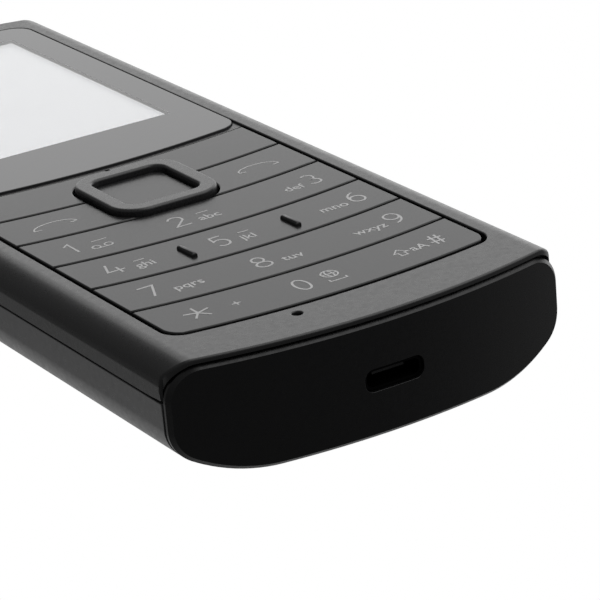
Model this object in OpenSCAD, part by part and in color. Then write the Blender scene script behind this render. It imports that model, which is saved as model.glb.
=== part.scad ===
// Candybar phone with a strip keypad, a removable battery door and separate end caps.
// Millimetres. The back lies on z = 0 with the origin at its centre, the keys face +Z,
// and the end with the charging socket is at -Y.

/* [Body] */
// Length from end to end
body_l = 132; // [130:0.5:136]
// Width across the sides
body_w = 51.4; // [50.6:0.1:53]
// Thickness from back to front
body_t = 14.5; // [14.5:0.25:18]
// Radius of the bowed ends, seen from the front
end_r = 92; // [70:1:160]
// Radius of the covers' four corners, seen from the front
corner_r = 2.2; // [1.6:0.1:4]
// Radius of the long front edges
front_edge_r = 3.2; // [2.2:0.1:3.2]
// Width of the flat middle of the back
back_flat_w = 27; // [26:0.5:30]
// Radius of the shallow curve beside the flat of the back
back_curve_r = 20; // [15:0.5:21]
// Angle at which the shallow curve turns into the tight side curve
side_join = 30; // [24:1:34]
// Height of the seam between the front cover and the rear cover
seam_z = 9.6; // [8.8:0.1:10]
// Width of that seam
seam_gap = 0.25; // [0.15:0.05:0.4]
// Wall of both covers
wall = 1.2; // [1:0.1:1.4]
// Thickness of the front cover's lip over the caps
lip_t = 0.6; // [0.6:0.1:1.2]
// Thickness of that lip where it runs out at the sides
lip_side = 0.3; // [0.25:0.05:0.4]
// Radius of the lip's corners, seen from the front
lip_corner_r = 3.5; // [3.4:0.1:4.4]

/* [End caps] */
// Depth of the cap's visible rim
cap_rim = 0.8; // [0.5:0.1:1]
// Groove between the covers and a cap
cap_groove = 0.5; // [0.2:0.05:0.6]
// Gap between a cap and the lip of the front cover above it
cap_lip_gap = 0.3; // [0.1:0.05:0.35]
// Radius of a cap's long front edges
cap_edge_r = 4; // [3.6:0.1:4.1]
// How far a cap reaches into the body
cap_depth = 2.8; // [2.4:0.1:3]
// Thickness of a cap's face
cap_face = 1.5; // [1.3:0.1:1.8]
// Wall of the part of a cap that reaches into the body
cap_wall = 0.9; // [0.7:0.1:1.2]

/* [Keypad] */
// Width of the keypad opening
keypad_w = 42.7; // [40:0.1:43]
// From the socket end to the lowest point of the keypad opening
keypad_margin = 7.65; // [7.6:0.05:9]
// Distance from one row to the next
row_pitch = 9.13; // [8.8:0.01:9.2]
// Radius of the bowed lines between the rows
row_r = 115.6; // [90:0.1:200]
// Gap between two rows
key_gap = 0.4; // [0.2:0.05:0.5]
// Gap between the keys and the opening
key_side_gap = 0.45; // [0.15:0.05:0.5]
// Radius of the lower corners of the keypad opening
keypad_corner_r = 2.8; // [1.5:0.1:4]
// Thickness of a key
key_t = 1.3; // [1.1:0.05:1.5]
// How far a key goes down
key_travel = 0.3; // [0.2:0.05:0.35]
// Distance between the columns of switches
column_pitch = 13.2; // [12:0.1:13.4]
// Length of the locator bars beside the 5
locator_l = 3.6; // [2:0.1:5]
// Width of a locator bar
locator_w = 0.7; // [0.4:0.05:1]
// Height of a locator bar above the key
locator_rise = 0.5; // [0.3:0.05:0.8]
// Sideways place of a locator bar
locator_x = 7.05; // [6.5:0.05:8]
// How far a locator bar lies below the middle of its row
locator_drop = 0.6; // [0:0.1:1]

/* [Navigation ring] */
// Width of the ring
nav_w = 14.4; // [13:0.1:16]
// Length of the ring
nav_l = 15.4; // [14:0.1:16]
// Outer corner radius of the ring
nav_corner_r = 3.8; // [3:0.1:5]
// Width of the band that makes the ring
nav_band = 2.2; // [1.8:0.1:2.6]
// Height of the ring above the keys
nav_rise = 0.8; // [0.5:0.05:1.2]
// How far the ring's middle lies below the line between soft keys and call keys
nav_drop = 1.1; // [0.8:0.05:1.3]
// Gap around the ring and around the select key
nav_gap = 0.3; // [0.25:0.05:0.4]
// How far the select key lies below the other keys
select_drop = 0; // [0:0.05:0.3]

/* [Display] */
// How far the bridge between the keypad and the window lies below the front
bridge_drop = 0.3; // [0.2:0.05:0.8]
// Gap between the window and the keypad
window_gap = 1.2; // [0.8:0.05:1.4]
// Thickness of the window
window_t = 1; // [0.7:0.05:1.2]
// Gap round the window
window_clear = 0.1; // [0.05:0.01:0.2]
// Corner radius of the window
window_corner_r = 3; // [2:0.1:4]
// From the far end of the body to the window
window_margin = 3.6; // [3.2:0.1:3.8]
// Thickness of the window's adhesive tape
tape_t = 0.15; // [0.1:0.01:0.2]
// Thickness of the ledge that carries the window
ledge_t = 0.85; // [0.7:0.05:1]
// Width of the picture area
active_w = 33.8; // [30:0.1:34.5]
// Height of the picture area
active_l = 45.1; // [42:0.1:45.3]
// From the window's lower edge to the picture area
active_low = 12.1; // [11:0.1:12.3]
// Width of the display module
module_w = 38; // [36.5:0.1:38.4]
// Border of the display module above the picture area
module_top = 2.1; // [1.8:0.1:2.3]
// Border of the display module below the picture area
module_low = 7.5; // [6.5:0.1:9]
// Thickness of the display panel
panel_t = 0.4; // [0.3:0.05:0.5]
// Thickness of the backlight
backlight_t = 1.7; // [1.5:0.05:1.9]
// Length of the earpiece slot
ear_slot_l = 9; // [7:0.5:11]
// Width of the earpiece slot
ear_slot_w = 1.3; // [1:0.1:1.6]
// From the window's far edge to the middle of the earpiece slot
ear_margin = 2.2; // [2.1:0.05:2.4]

/* [Battery] */
// Width of the battery
battery_w = 34; // [32:0.5:35]
// Length of the battery
battery_l = 53; // [50:0.5:54]
// Thickness of the battery
battery_t = 5.1; // [4.8:0.1:5.3]
// From the socket end to the battery's middle
battery_y = 52; // [51:0.5:53]
// Play round the battery
battery_clear = 0.25; // [0.15:0.05:0.35]
// Wall of the battery bay
bay_wall = 0.9; // [0.7:0.1:1.1]

/* [Inside] */
// Thickness of the mid frame's plate
plate_t = 0.9; // [0.7:0.05:1]
// Thickness of the boards
board_t = 0.8; // [0.7:0.05:0.9]
// Clearance between inner pieces and the covers
inner_clear = 0.15; // [0.1:0.05:0.25]
// Wall of the mid frame's skirt
skirt_wall = 0.8; // [0.6:0.1:1]
// Diameter of a case screw
screw_d = 1.6; // [1.4:0.1:1.8]
// Diameter of a screw head
screw_head_d = 3; // [2.6:0.1:3.2]
// Height of a screw head
screw_head_t = 0.8; // [0.6:0.1:1]
// Diameter of a screw boss
boss_d = 3.4; // [3:0.1:3.8]
// Radial clearance of a screw in the holes that it passes
screw_clear = 0.15; // [0.1:0.05:0.25]

/* [Sockets] */
// Sideways place of the charging socket
usb_x = 0.75; // [-2:0.05:2]
// Outer width of the charging socket's shell
usb_w = 7.5; // [7.3:0.1:7.8]
// Outer height of the charging socket's shell
usb_h = 2.45; // [2.3:0.05:2.6]
// Length of the shell
usb_l = 5.6; // [5:0.1:6]
// Sheet thickness of the shell
usb_sheet = 0.3; // [0.25:0.05:0.35]
// Gap between the shell and its slot in the cap
usb_clear = 0.12; // [0.1:0.01:0.2]
// How far the shell lies behind the cap's face
usb_recess = 0.45; // [0.3:0.05:0.6]
// Height of the middle of the charging socket
usb_z = 6.775; // [6.6:0.025:7]
// Bore of the headset socket
jack_d = 3.6; // [3.5:0.05:3.7]
// Diameter of the headset socket's nose
jack_nose_d = 5; // [4.8:0.1:5.4]
// Sideways place of the headset socket
jack_x = 12.5; // [11:0.5:13]
// Depth of the headset socket's bore
jack_depth = 14; // [13:0.5:14.5]
// Diameter of the microphone hole
mic_hole_d = 1.2; // [0.8:0.1:1.4]
// Sideways place of the microphone
mic_x = -7.44; // [-9:0.02:-6]
// From the socket end to the microphone
mic_margin = 6.05; // [5.9:0.05:6.2]

/* [Hidden] */
$fn = 96;

// Overshoot of a cut past the surface that it opens
cut = 1;
// How far a corner's circle stands past the lines that it rounds off
corner_poke = 0.005;

// Outline of the body
half_l = body_l / 2;
half_w = body_w / 2;
back_c = [back_flat_w / 2, back_curve_r];
join_x = back_c[0] + back_curve_r * sin(side_join);
join_z = back_curve_r * (1 - cos(side_join));
side_r = (half_w - join_x) / (1 - sin(side_join));
side_c = [half_w - side_r, join_z + side_r * cos(side_join)];
// Angle by which the cutter of the shallow curve runs into that of the side curve
wedge_overlap = 8;

// Heights counted from the front
lip_z = body_t - lip_t;
ceiling_z = min(lip_z, body_t - wall);
window_z = body_t - window_t;
tape_z = window_z - tape_t;
ledge_z = tape_z - ledge_t;
bridge_z = body_t - bridge_drop;
key_z = body_t - key_t;
foam_gap = 0.1;
panel_z = tape_z - foam_gap - panel_t;
backlight_z = panel_z - backlight_t;
board_top = body_t - 4.3;
board_z = board_top - board_t;

// Heights counted from the back
rest_gap = 0.15;
function back_inner_z(x) =
    x > back_c[0] ? back_c[1] - sqrt(pow(back_curve_r - wall, 2) - pow(x - back_c[0], 2)) : wall;
battery_z = back_inner_z(battery_w / 2) + rest_gap;
bay_z = back_inner_z(battery_w / 2 + battery_clear + bay_wall) + rest_gap;
sub_z = usb_z + usb_h / 2;
plate_z = sub_z - plate_t;
sub_top = sub_z + board_t;
head_z = plate_z - screw_head_t;

// Depth, from the bowed end, at which the covers stop
cover_trim = cap_rim + cap_groove;
// Depth, from the bowed end, at which the inner pieces stop
inner_trim = cap_depth + inner_clear;

// Keypad lines: the lowest point of each bowed line, counted from the socket end upwards
key_low_y = -half_l + keypad_margin + key_side_gap;
function line_y(k) = key_low_y + k * row_pitch;
function bow(r, x) = r - sqrt(r * r - x * x);
function row_mid_y(k, x) = line_y(k) + row_pitch / 2 + bow(row_r, x);
key_half_w = keypad_w / 2 - key_side_gap;
last_line = 6;
soft_row = 5;
call_row = 4;
columns = [-column_pitch, 0, column_pitch];
nav_y = line_y(soft_row) - nav_drop;

// Display window
window_low_y = line_y(last_line) + window_gap;
window_far_y = half_l - window_margin;
active_y = window_low_y + active_low;
active_mid_y = active_y + active_l / 2;
module_low_y = active_y - module_low;
module_l = module_low + active_l + module_top;
module_mid_y = module_low_y + module_l / 2;
module_clear = 0.2;
ear_y = window_far_y - ear_margin;

// Places of the inner pieces
battery_mid_y = -half_l + battery_y;
battery_low_y = battery_mid_y - battery_l / 2;
battery_far_y = battery_mid_y + battery_l / 2;
board_half_w = half_w - wall - inner_clear - skirt_wall;
board_low_y = -half_l + 9;
board_far_y = half_l - 4.4;
sub_low_y = -half_l + 4.2;
sub_far_y = board_low_y + 8;
sub_half_w = 20.5;
mic_pos = [mic_x, -half_l + mic_margin];
mic_d = 3.6;
mic_t = 1.5;
usb_front_y = -half_l + usb_recess;
jack_z = board_z - 2.5;
jack_box = [6.2, 5];
jack_front_y = half_l - bow(end_r, jack_x + jack_nose_d / 2);
jack_back_y = jack_front_y - jack_depth - 1;
jack_clear = 0.15;
jack_wall_y = half_l - cap_face - bow(end_r, jack_x + jack_box[0] / 2 + jack_clear);
torch_pos = [-12.5, board_z - 1.3];
torch_d = 3.4;
torch_clear = 0.1;
torch_wall_y = half_l - cap_face - bow(end_r, abs(torch_pos[0]) + torch_d / 2 + torch_clear);
speaker_size = [15, 11, 3.5];
speaker_pos = [-13.4, half_l - 23];
gasket_wall = 1.2;
motor_pos = [8, battery_low_y - 8, plate_z - 2.3];
motor_d = 4;
motor_l = 8;
shaft_d = 0.8;
shaft_clear = 0.1;
weight_d = 3.6;
weight_l = 3.2;
weight_gap = 0.5;
sim_size = [14, 15, 1.2];
sim_x = 3;
sim_y = battery_far_y + 4.5;
card_size = [12, 11, 1.2];
card_pos = [-4, sim_y + sim_size[1] + 1.5];
holder_wall = 0.5;
window_clear_xy = 0.5;
contact_size = [11, 2.4];
contact_gap = 0.6;
can_t = board_z - sub_z - rest_gap;
can_wall = 0.2;
can_w = 30;
antenna_size = [13, 9.5, 2.6];
antenna_pos = [-20.5, -half_l + 10];
strip_t = 0.15;

// Case screws: two beside the battery bay and two past the display hold the main board,
// and two hold the sub-board
screw_gap = 0.3;
bay_screw_x = battery_w / 2 + battery_clear + bay_wall + screw_head_d / 2 + screw_gap;
bay_screw_y = module_low_y - boss_d / 2 - screw_gap;
far_screw_x = jack_x + jack_box[0] / 2 + window_clear_xy + boss_d / 2 + screw_gap;
far_screw_y = module_low_y + module_l + boss_d / 2 + screw_gap;
end_screw_x = 17.5;
function screw_pair(x, y) = [for (s = [-1, 1]) [s * x, y]];
bay_screws = screw_pair(bay_screw_x, bay_screw_y);
far_screws = screw_pair(far_screw_x, far_screw_y);
sub_screws = screw_pair(end_screw_x, -half_l + 7.2);
board_screws = concat(bay_screws, far_screws);
all_screws = concat(board_screws, sub_screws);
screw_end_z = ledge_z - 0.5;

// Cutter that rounds a corner: what a wedge at c holds outside a circle round c.
// The circle may stand past the two sides by poke, so that it crosses them instead of only touching them.
module round_off(c, r, from_deg, to_deg, poke = 0) {
    reach = 2 * r + cut;
    mid_deg = (from_deg + to_deg) / 2;
    mid_cos = cos((to_deg - from_deg) / 2);
    mid_way = [cos(mid_deg), sin(mid_deg)];
    difference() {
        polygon([
            c,
            c + reach * [cos(from_deg), sin(from_deg)],
            c + reach / mid_cos * mid_way,
            c + reach * [cos(to_deg), sin(to_deg)]
        ]);
        translate(c + poke / mid_cos * mid_way) circle(r = r);
    }
}

// Repeats its children at x and mirrored at -x
module both_sides() {
    for (side = [0, 1]) mirror([side, 0, 0]) children();
}

// Extrudes a drawing in x and z along y, evenly about y = 0
module along_y(length) {
    translate([0, length / 2, 0]) rotate([90, 0, 0]) linear_extrude(length) children();
}

// Extrudes a drawing in x and y between two heights
module between(low, high) {
    translate([0, 0, low]) linear_extrude(high - low) children();
}

// Box with its x and y middle at a place, between two heights
module box_at(place, size, low, high) {
    translate([place[0] - size[0] / 2, place[1] - size[1] / 2, low]) cube([size[0], size[1], high - low]);
}

// Rectangle about the origin with round corners
module rounded_rect(w, l, r) {
    square([w - 2 * r, l], center = true);
    square([w, l - 2 * r], center = true);
    for (x = [-1, 1], y = [-1, 1]) translate([x * (w / 2 - r), y * (l / 2 - r)]) circle(r = r);
}

// Slot about the origin with round ends
module long_slot(l, w) {
    rounded_rect(l, w, w / 2 - 2 * corner_poke);
}

// Cutters for the two corners between straight sides and a bowed line below
module bowed_corners(side_x, low_y, bow_r, round_r) {
    bow_cy = low_y + bow_r;
    corner_x = side_x - round_r;
    corner_y = bow_cy - sqrt(pow(bow_r - round_r, 2) - pow(corner_x, 2));
    for (side = [0, 1]) mirror([side, 0])
        round_off([corner_x, corner_y], round_r, atan2(corner_y - bow_cy, corner_x), 0, corner_poke);
}

// Space between straight sides above a bowed line, with round lower corners
module bowed_below(side_x, low_y, bow_r, round_r, top_y) {
    difference() {
        intersection() {
            translate([-side_x, low_y - cut]) square([2 * side_x, top_y - low_y + cut]);
            translate([0, low_y + bow_r]) circle(r = bow_r);
        }
        bowed_corners(side_x, low_y, bow_r, round_r);
    }
}

// Cross-section of the body in x and z, its surface moved in by inset;
// both sides can be moved in further by side_in, and the front by front_in,
// and edge_r is the radius of the long front edges
module body_section(inset, side_in = 0, front_in = 0, edge_r = front_edge_r) {
    right_x = half_w - side_in;
    front_z = body_t - front_in;
    difference() {
        translate([inset - right_x, inset]) square([2 * (right_x - inset), front_z - 2 * inset]);
        for (side = [0, 1]) mirror([side, 0]) {
            round_off([right_x - edge_r, front_z - edge_r], edge_r - inset, 0, 90);
            round_off(side_c - [side_in, 0], side_r - inset, side_join - 90, 0);
            round_off(back_c - [side_in, 0], back_curve_r - inset, -90, side_join - 90 + wedge_overlap);
        }
    }
}

// Solid of the body, its long surfaces moved in by inset
module body_bar(inset) {
    along_y(body_l + 2 * cut) body_section(inset);
}

// Outline of the body's ends from the front, with a radius for its corners; its sides lie outside the body
module body_plan(round_r) {
    difference() {
        intersection() {
            square([body_w + 2 * cut, body_l + 2 * cut], center = true);
            end_trim(0);
        }
        for (side = [0, 1]) mirror([0, side]) bowed_corners(half_w, -half_l, end_r, round_r);
    }
}

// Everything that lies deeper than depth behind both bowed ends
module end_trim(depth) {
    intersection_for(side = [-1, 1]) translate([0, side * (half_l - end_r)]) circle(r = end_r - depth);
}

module cover_plan() {
    intersection() {
        body_plan(corner_r);
        end_trim(cover_trim);
    }
}

// Opening of the keypad, moved out by grow on its straight sides and its lower edge
module keypad_outline(grow) {
    difference() {
        bowed_below(key_half_w + grow, key_low_y - grow, row_r, keypad_corner_r, window_far_y);
        translate([0, line_y(last_line) + grow + row_r]) circle(r = row_r);
    }
}

module window_outline(grow) {
    side_x = keypad_w / 2 - window_clear + grow;
    intersection() {
        bowed_below(side_x, window_low_y - grow, row_r, window_corner_r, half_l);
        mirror([0, 1]) bowed_below(side_x, -window_far_y - grow, end_r, window_corner_r, half_l);
    }
}

// Outline of the display module, moved out by grow
module module_outline(grow) {
    translate([0, module_mid_y]) square([module_w + 2 * grow, module_l + 2 * grow], center = true);
}

module ear_slot() {
    translate([0, ear_y]) long_slot(ear_slot_l, ear_slot_w);
}

// Lip over the caps, which follows the long front edges and runs out at the sides
module end_lip() {
    difference() {
        between(lip_z - front_edge_r, body_t + cut) body_plan(lip_corner_r);
        along_y(body_l + 4 * cut) body_section(0, lip_side, lip_t);
    }
}

module front_cover_shell() {
    difference() {
        intersection() {
            body_bar(0);
            union() {
                end_lip();
                between(seam_z + seam_gap / 2, body_t + 2 * cut) cover_plan();
            }
        }
        intersection() {
            body_bar(wall);
            translate([-body_w, -body_l, 0]) cube([2 * body_w, 2 * body_l, lip_z]);
        }
    }
}

// Shelf under the window that ties the two sides of the front cover together
module window_ledge() {
    intersection() {
        body_bar(wall / 2);
        between(ledge_z, lip_z) intersection() {
            end_trim(inner_trim);
            translate([-half_w, line_y(last_line) + key_gap]) square([body_w, half_l]);
        }
    }
}

module screw_boss(place, low, high, to_side) {
    translate([place[0], place[1], low]) cylinder(d = boss_d, h = high - low);
    if (to_side) intersection() {
        rib_w = half_w - abs(place[0]);
        rib_x = place[0] > 0 ? place[0] : -half_w;
        body_bar(wall / 2);
        translate([rib_x, place[1] - boss_d / 4, low]) cube([rib_w, boss_d / 2, high - low]);
    }
}

module screw_holes(places, d, low, high) {
    for (p = places) translate([p[0], p[1], low]) cylinder(d = d, h = high - low);
}

module front_cover() {
    color([0.16, 0.16, 0.17]) difference() {
        union() {
            front_cover_shell();
            window_ledge();
            for (p = bay_screws) screw_boss(p, board_top, tape_z, true);
            for (p = far_screws) screw_boss(p, board_top, tape_z, false);
            for (p = sub_screws) screw_boss(p, sub_top, lip_z, false);
        }
        between(seam_z, body_t + cut) keypad_outline(key_side_gap);
        between(tape_z, body_t + cut) window_outline(window_clear);
        between(bridge_z, body_t + cut) intersection() {
            bowed_below(key_half_w + key_side_gap, key_low_y, row_r, keypad_corner_r, window_far_y);
            translate([-half_w, line_y(soft_row)]) square([body_w, active_y - line_y(soft_row)]);
        }
        between(ledge_z - cut, body_t) module_outline(module_clear);
        between(ledge_z - cut, body_t) ear_slot();
        screw_holes(board_screws, screw_d, board_top - cut, screw_end_z);
        screw_holes(sub_screws, screw_d, sub_top - cut, screw_end_z);
        translate([mic_pos[0], mic_pos[1], ceiling_z - cut])
            cylinder(d = mic_hole_d, h = body_t - ceiling_z + 2 * cut);
    }
}

slot_count = 4;
slot_pitch = 2.4;
slot_size = [9, 1.2];

module rear_cover() {
    slot_mid = [speaker_pos[0] + speaker_size[0] / 2, speaker_pos[1] + speaker_size[1] / 2];
    color([0.14, 0.14, 0.15]) difference() {
        intersection() {
            body_bar(0);
            between(-cut, seam_z - seam_gap / 2) cover_plan();
        }
        body_bar(wall);
        for (i = [0 : slot_count - 1])
            translate([slot_mid[0], slot_mid[1] + (i - (slot_count - 1) / 2) * slot_pitch, -cut])
                linear_extrude(wall + 2 * cut) long_slot(slot_size[0], slot_size[1]);
    }
}

// Band behind the far bowed end, between two depths
module far_band(from_depth, to_depth) {
    difference() {
        intersection() {
            translate([-body_w, 0]) square([2 * body_w, body_l]);
            end_trim(from_depth);
        }
        end_trim(to_depth);
    }
}

// Cap at the far end: a face that fills the section under the lip, and a wall that reaches into the body
module end_cap() {
    cap_top = lip_z - cap_lip_gap;
    intersection() {
        along_y(body_l + 2 * cut) body_section(0, 0, lip_t + cap_lip_gap, cap_edge_r);
        between(-cut, body_t) far_band(0, cap_rim);
    }
    difference() {
        intersection() {
            body_bar(wall + inner_clear);
            between(0, cap_top) far_band(cap_rim, cap_depth);
        }
        intersection() {
            body_bar(wall + inner_clear + cap_wall);
            between(0, cap_top - cap_wall) far_band(cap_face, cap_depth + cut);
        }
    }
}

module usb_profile(grow) {
    rounded_rect(usb_w + 2 * grow, usb_h + 2 * grow, usb_h / 2 - 0.25 + grow);
}

module bottom_cap() {
    color([0.1, 0.1, 0.11]) difference() {
        mirror([0, 1, 0]) end_cap();
        translate([usb_x, -half_l + cap_depth + cut, usb_z]) rotate([90, 0, 0])
            linear_extrude(cap_depth + 2 * cut) usb_profile(usb_clear);
    }
}

module top_cap() {
    color([0.1, 0.1, 0.11]) difference() {
        end_cap();
        translate([jack_x, half_l + cut, jack_z]) rotate([90, 0, 0])
            cylinder(d = jack_nose_d + 2 * jack_clear, h = cap_depth + 4 * cut);
        box_at([jack_x, jack_wall_y - cap_depth], [jack_box[0] + 2 * jack_clear, 2 * cap_depth],
            jack_z - jack_box[1] / 2 - jack_clear, body_t);
        translate([torch_pos[0], half_l + cut, torch_pos[1]]) rotate([90, 0, 0])
            cylinder(d = torch_d + 2 * torch_clear, h = cap_depth + 4 * cut);
        box_at([torch_pos[0], torch_wall_y - cap_depth], [torch_d + 2 * torch_clear, 2 * cap_depth],
            torch_pos[1], body_t);
    }
}

module bay_outline(grow) {
    translate([0, battery_mid_y]) square([battery_w + 2 * grow, battery_l + 2 * grow], center = true);
}

module mid_frame() {
    cradle_l = motor_l - 2;
    color([0.22, 0.22, 0.23]) difference() {
        union() {
            intersection() {
                body_bar(wall + inner_clear);
                between(plate_z, sub_z) end_trim(inner_trim);
            }
            intersection() {
                difference() {
                    body_bar(wall + inner_clear);
                    body_bar(wall + inner_clear + skirt_wall);
                }
                between(sub_z, board_z) intersection() {
                    end_trim(inner_trim);
                    translate([-half_w, board_low_y]) square([body_w, board_far_y - board_low_y]);
                }
            }
            between(bay_z, plate_z) difference() {
                bay_outline(battery_clear + bay_wall);
                bay_outline(battery_clear);
            }
            for (p = board_screws) translate([p[0], p[1], sub_z]) cylinder(d = boss_d, h = board_z - sub_z);
            translate([motor_pos[0] + 1, motor_pos[1] - motor_d / 2 - 0.6, motor_pos[2]])
                cube([cradle_l, motor_d + 1.2, plate_z - motor_pos[2]]);
        }
        screw_holes(all_screws, screw_d + 2 * screw_clear, plate_z - cut, board_z + cut);
        translate([motor_pos[0], motor_pos[1], motor_pos[2]]) rotate([0, 90, 0])
            cylinder(d = motor_d + 2 * shaft_clear, h = motor_l);
        box_at([usb_x, -half_l + usb_l / 2], [usb_w + 2, usb_l + 4], plate_z - cut, sub_z + cut);
        both_sides() translate([sim_x - window_clear_xy, sim_y - window_clear_xy, plate_z - cut])
            cube([sim_size[0] + 2 * window_clear_xy, sim_size[1] + 2 * window_clear_xy, plate_t + 2 * cut]);
        translate([card_pos[0] - window_clear_xy, card_pos[1] - window_clear_xy, plate_z - cut])
            cube([card_size[0] + 2 * window_clear_xy, card_size[1] + 2 * window_clear_xy, plate_t + 2 * cut]);
        translate([jack_x - jack_box[0] / 2 - window_clear_xy, jack_back_y - window_clear_xy, plate_z - cut])
            cube([jack_box[0] + 2 * window_clear_xy, body_l, board_z - plate_z + 2 * cut]);
        box_at([torch_pos[0], half_l], [torch_d + 2 * window_clear_xy, 13], plate_z - cut, sub_z + cut);
        box_at([0, battery_far_y + contact_gap + contact_size[1] / 2],
            [contact_size[0] + 2 * window_clear_xy, contact_size[1] + 2 * contact_gap],
            battery_z + battery_t / 4, sub_z + cut);
    }
}

module case_screws() {
    cross_w = 0.4;
    cross_l = 1.8;
    cross_t = 0.4;
    color([0.6, 0.6, 0.62]) for (p = all_screws) translate([p[0], p[1], head_z]) difference() {
        union() {
            cylinder(d = screw_head_d, h = screw_head_t);
            cylinder(d = screw_d - 0.1, h = screw_end_z - 0.3 - head_z);
        }
        for (a = [0, 90]) rotate(a)
            translate([-cross_l / 2, -cross_w / 2, -cut]) cube([cross_l, cross_w, cross_t + cut]);
    }
}

module display_window() {
    color([0.3, 0.3, 0.32]) difference() {
        between(window_z, body_t) window_outline(0);
        between(window_z - cut, body_t + cut) ear_slot();
    }
}

module window_adhesive() {
    color([0.05, 0.05, 0.05]) between(tape_z, window_z) difference() {
        window_outline(-window_clear);
        module_outline(module_clear);
        translate([0, ear_y]) square([ear_slot_l + 1.4, ear_slot_w + 1.4], center = true);
    }
}

module earpiece_mesh() {
    mesh_rim = 0.5;
    mesh_size = [ear_slot_l + 2 * mesh_rim, ear_slot_w + 2 * mesh_rim];
    color([0.25, 0.25, 0.26]) box_at([0, ear_y], mesh_size, tape_z, tape_z + tape_t / 2);
}

// Glass of the display, with the film over its picture area
module display_panel() {
    panel_inset = 0.5;
    polarizer_t = 0.1;
    polarizer_rim = 0.6;
    color([0.9, 0.92, 0.95]) {
        between(panel_z, panel_z + panel_t - polarizer_t) module_outline(-panel_inset);
        box_at([0, active_mid_y], [active_w + 2 * polarizer_rim, active_l + 2 * polarizer_rim],
            panel_z, panel_z + panel_t);
    }
}

module display_backlight() {
    color([0.8, 0.8, 0.8]) between(backlight_z, panel_z) module_outline(0);
}

flex_w = 12;
flex_l = 3.6;
flex_t = 0.1;

// Frame that carries the display on the main board, open where the flex comes down
module display_cradle() {
    cradle_wall = 1.5;
    color([0.85, 0.85, 0.83]) between(board_top, backlight_z) difference() {
        module_outline(0);
        module_outline(-cradle_wall);
        translate([0, module_low_y]) square([flex_w + 1, 4 * cradle_wall], center = true);
    }
}

// Flex that lies on the board and rises to the underside of the backlight
module display_flex() {
    color([0.7, 0.45, 0.15]) {
        box_at([0, module_low_y], [flex_w, flex_l], board_top, board_top + flex_t);
        box_at([0, module_low_y + flex_l / 2 - flex_t / 2], [flex_w, flex_t], board_top, backlight_z);
    }
}

// One row of the keypad between two bowed lines
module row_plan(k) {
    intersection() {
        keypad_outline(0);
        difference() {
            translate([0, line_y(k) + key_gap / 2 + row_r]) circle(r = row_r);
            translate([0, line_y(k + 1) - key_gap / 2 + row_r]) circle(r = row_r);
        }
    }
}

module nav_plan(grow) {
    translate([0, nav_y]) rounded_rect(nav_w + 2 * grow, nav_l + 2 * grow, nav_corner_r + grow);
}

// Half of an upper row, cut out round the navigation ring; side is -1 for the left half
module split_key(k, side) {
    between(key_z, body_t) difference() {
        row_plan(k);
        nav_plan(nav_gap);
        translate([side > 0 ? key_gap / 2 - body_w : -key_gap / 2, -body_l]) square([body_w, 2 * body_l]);
    }
}

module key_strip(k) {
    between(key_z, body_t) row_plan(k);
}

module left_soft_key() {
    color([0.2, 0.2, 0.21]) split_key(soft_row, -1);
}

module right_soft_key() {
    color([0.2, 0.2, 0.21]) split_key(soft_row, 1);
}

module call_key() {
    color([0.2, 0.2, 0.21]) split_key(call_row, -1);
}

module end_key() {
    color([0.2, 0.2, 0.21]) split_key(call_row, 1);
}

module key_row_123() {
    color([0.2, 0.2, 0.21]) difference() {
        key_strip(3);
        between(key_z - cut, body_t + cut) nav_plan(nav_gap);
    }
}

module key_row_456() {
    row = 2;
    color([0.2, 0.2, 0.21]) {
        key_strip(row);
        for (side = [-1, 1])
            box_at([side * locator_x, row_mid_y(row, locator_x) - locator_drop], [locator_w, locator_l],
                body_t - key_t / 2, body_t + locator_rise);
    }
}

module key_row_789() {
    color([0.2, 0.2, 0.21]) key_strip(1);
}

module key_row_star_0_hash() {
    color([0.2, 0.2, 0.21]) key_strip(0);
}

module nav_ring() {
    color([0.24, 0.24, 0.25]) between(key_z, body_t + nav_rise) difference() {
        nav_plan(0);
        nav_plan(-nav_band);
    }
}

module select_key() {
    color([0.2, 0.2, 0.21]) between(key_z, body_t - select_drop) nav_plan(-nav_band - nav_gap);
}

// Places of the switches under the keys
outer_columns = [-column_pitch, column_pitch];
row_switches = [for (k = [0 : 3]) for (x = columns) [x, row_mid_y(k, x)]];
upper_switches = [for (k = [call_row, soft_row]) for (x = outer_columns) [x, row_mid_y(k, x)]];
nav_reach = (nav_l - nav_band) / 2;
nav_side_reach = (nav_w - nav_band) / 2;
nav_switches = [
    [0, nav_y],
    [0, nav_y - nav_reach],
    [0, nav_y + nav_reach],
    [-nav_side_reach, nav_y],
    [nav_side_reach, nav_y]
];
switches = concat(row_switches, upper_switches, nav_switches);

mat_web_z = board_top + 1.4;
mat_web_t = 0.4;
mat_half_w = 18.4;
mat_rim = 0.8;
mat_low_y = board_low_y + 0.6;
mat_far_y = line_y(last_line) + 0.4;
pad_gap = 0.05;
pad_z = key_z - key_travel - pad_gap;
pad_d = 3.6;
plunger_d = 2;
dome_d = 4;
dome_h = 0.25;
film_t = 0.1;
dome_gap = 0.12;

module mat_plan(grow) {
    translate([-mat_half_w - grow, mat_low_y - grow])
        square([2 * (mat_half_w + grow), mat_far_y - mat_low_y + 2 * grow]);
}

module keypad_mat() {
    color([0.75, 0.75, 0.72]) {
        between(mat_web_z, mat_web_z + mat_web_t) mat_plan(0);
        between(board_top, mat_web_z) difference() {
            mat_plan(0);
            mat_plan(-mat_rim);
        }
        for (p = switches) {
            translate([p[0], p[1], mat_web_z]) cylinder(d = pad_d, h = pad_z - mat_web_z);
            translate([p[0], p[1], board_top + film_t + dome_h + dome_gap])
                cylinder(d = plunger_d, h = mat_web_z - board_top - film_t - dome_h - dome_gap);
        }
    }
}

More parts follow.
